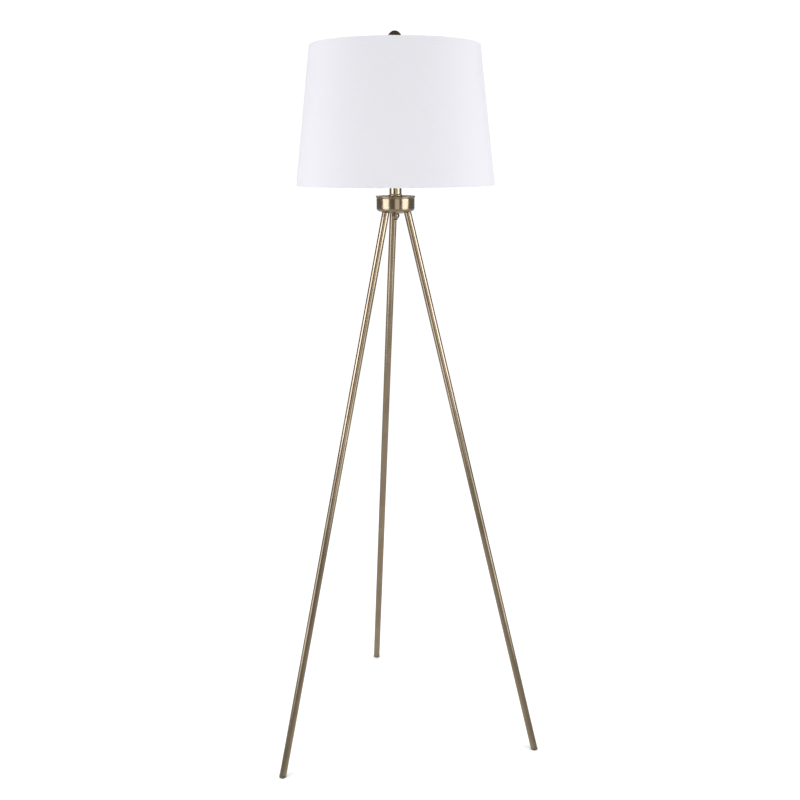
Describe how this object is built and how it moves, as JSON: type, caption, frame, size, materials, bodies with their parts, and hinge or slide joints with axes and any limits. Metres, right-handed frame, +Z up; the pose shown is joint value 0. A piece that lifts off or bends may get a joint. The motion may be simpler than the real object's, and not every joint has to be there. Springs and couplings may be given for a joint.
{
  "type": "tripod floor lamp",
  "caption": "Free-standing floor lamp: straight tube legs screwed into a small cup hub, with a tapered drum shade on a harp over a switched bulb socket.",
  "frame": {"origin": "middle of the lamp's bounding box, on the floor; the lamp's own axis is at X 0, Y -64.3 mm", "axes": "+Z up, +Y towards the rear leg, the switch knob faces -Y"},
  "size_m": [0.5766, 0.535, 1.5338],
  "materials": {
    "antique_brass": "satin-polished antique brass plating, brown where it turns away from the light",
    "harp_brass": "plain bright brass wire and pressings",
    "socket_brass": "thin bright brass pressing",
    "contact_brass": "bare brass",
    "spider_brass": "brass-plated wire",
    "zinc_steel": "zinc-plated steel",
    "hub_iron": "rough black casting, turned on top",
    "foot_plastic": "moulded brown plastic",
    "black_plastic": "moulded black plastic",
    "fibre_liner": "pressed insulating fibre",
    "socket_moulding": "moulded insulating body",
    "wire_insulation": "plain cable insulation",
    "frosted_glass": "frosted white glass",
    "bulb_cap_metal": "rolled metal screw cap",
    "black_glass": "black glass insulator",
    "shade_fabric": "fine plain-weave white fabric",
    "shade_styrene": "smooth white styrene sheet"
  },
  "bodies": {
    "stand": {"leg_tube_rear": "antique_brass", "leg_tube_left": "antique_brass", "leg_tube_right": "antique_brass", "leg_insert_rear": "zinc_steel", "leg_insert_left": "zinc_steel", "leg_insert_right": "zinc_steel", "leg_stud_rear": "zinc_steel", "leg_stud_left": "zinc_steel", "leg_stud_right": "zinc_steel", "foot_glide_rear": "foot_plastic", "foot_glide_left": "foot_plastic", "foot_glide_right": "foot_plastic", "cup_shell": "antique_brass", "cup_lid": "antique_brass", "bottom_knob": "antique_brass", "neck_collar": "antique_brass", "neck_tube": "antique_brass", "neck_cap": "antique_brass", "hub_block": "hub_iron", "hub_washer": "zinc_steel", "hub_nut": "zinc_steel", "central_pipe": "zinc_steel", "outlet_bushing": "black_plastic", "harp_saddle": "harp_brass", "harp_wire": "harp_brass", "harp_stud": "harp_brass", "socket_cap": "socket_brass", "socket_shell": "socket_brass", "socket_liner": "fibre_liner", "socket_body": "socket_moulding", "socket_screw_shell": "contact_brass", "socket_contact": "contact_brass", "terminal_screw_live": "contact_brass", "terminal_screw_neutral": "zinc_steel", "lead_wire_live": "wire_insulation", "lead_wire_neutral": "wire_insulation"},
    "switch_knob": {"switch_knob": "black_plastic", "switch_shaft": "zinc_steel"},
    "harp_sleeve_left": {"harp_sleeve_left": "harp_brass"},
    "harp_sleeve_right": {"harp_sleeve_right": "harp_brass"},
    "bulb_lift": {"bulb_contact": "zinc_steel"},
    "bulb": {"bulb_insulator": "black_glass", "bulb_base": "bulb_cap_metal", "bulb_glass": "frosted_glass"},
    "shade": {"shade_fabric": "shade_fabric", "shade_backing": "shade_styrene", "shade_bottom_ring": "zinc_steel", "shade_spider": "spider_brass"},
    "finial_lift": {"finial_base": "antique_brass"},
    "finial": {"finial_ball": "antique_brass"}
  },
  "joints": [
    {"name": "switch_turn", "type": "hinge", "parent": "stand", "child": "switch_knob", "pos_m": [0, -0.06427, 1.283], "axis": [0, -1, 0], "continuous": true},
    {"name": "sleeve_left_lift", "type": "slide", "parent": "stand", "child": "harp_sleeve_left", "axis": [0, 0, 1], "range_m": [0, 0.012]},
    {"name": "sleeve_right_lift", "type": "slide", "parent": "stand", "child": "harp_sleeve_right", "axis": [0, 0, 1], "range_m": [0, 0.012]},
    {"name": "bulb_lift", "type": "slide", "parent": "stand", "child": "bulb_lift", "axis": [0, 0, 1], "range_m": [0, 0.0127]},
    {"name": "bulb_turn", "type": "hinge", "parent": "bulb_lift", "child": "bulb", "pos_m": [0, -0.06427, 1.31], "axis": [0, 0, 1], "range_deg": [0, 1260]},
    {"name": "shade_turn", "type": "hinge", "parent": "stand", "child": "shade", "pos_m": [0, -0.06427, 1.49], "axis": [0, 0, 1], "continuous": true},
    {"name": "finial_lift", "type": "slide", "parent": "stand", "child": "finial_lift", "axis": [0, 0, 1], "range_m": [0, 0.0076]},
    {"name": "finial_turn", "type": "hinge", "parent": "finial_lift", "child": "finial", "pos_m": [0, -0.06427, 1.5], "axis": [0, 0, 1], "range_deg": [0, 2880]}
  ],
  "couplings": [
    {"joint": "bulb_lift", "follows": "bulb_turn", "m_per_rad": 0.00057296},
    {"joint": "finial_lift", "follows": "finial_turn", "m_per_rad": 0.00014961}
  ]
}
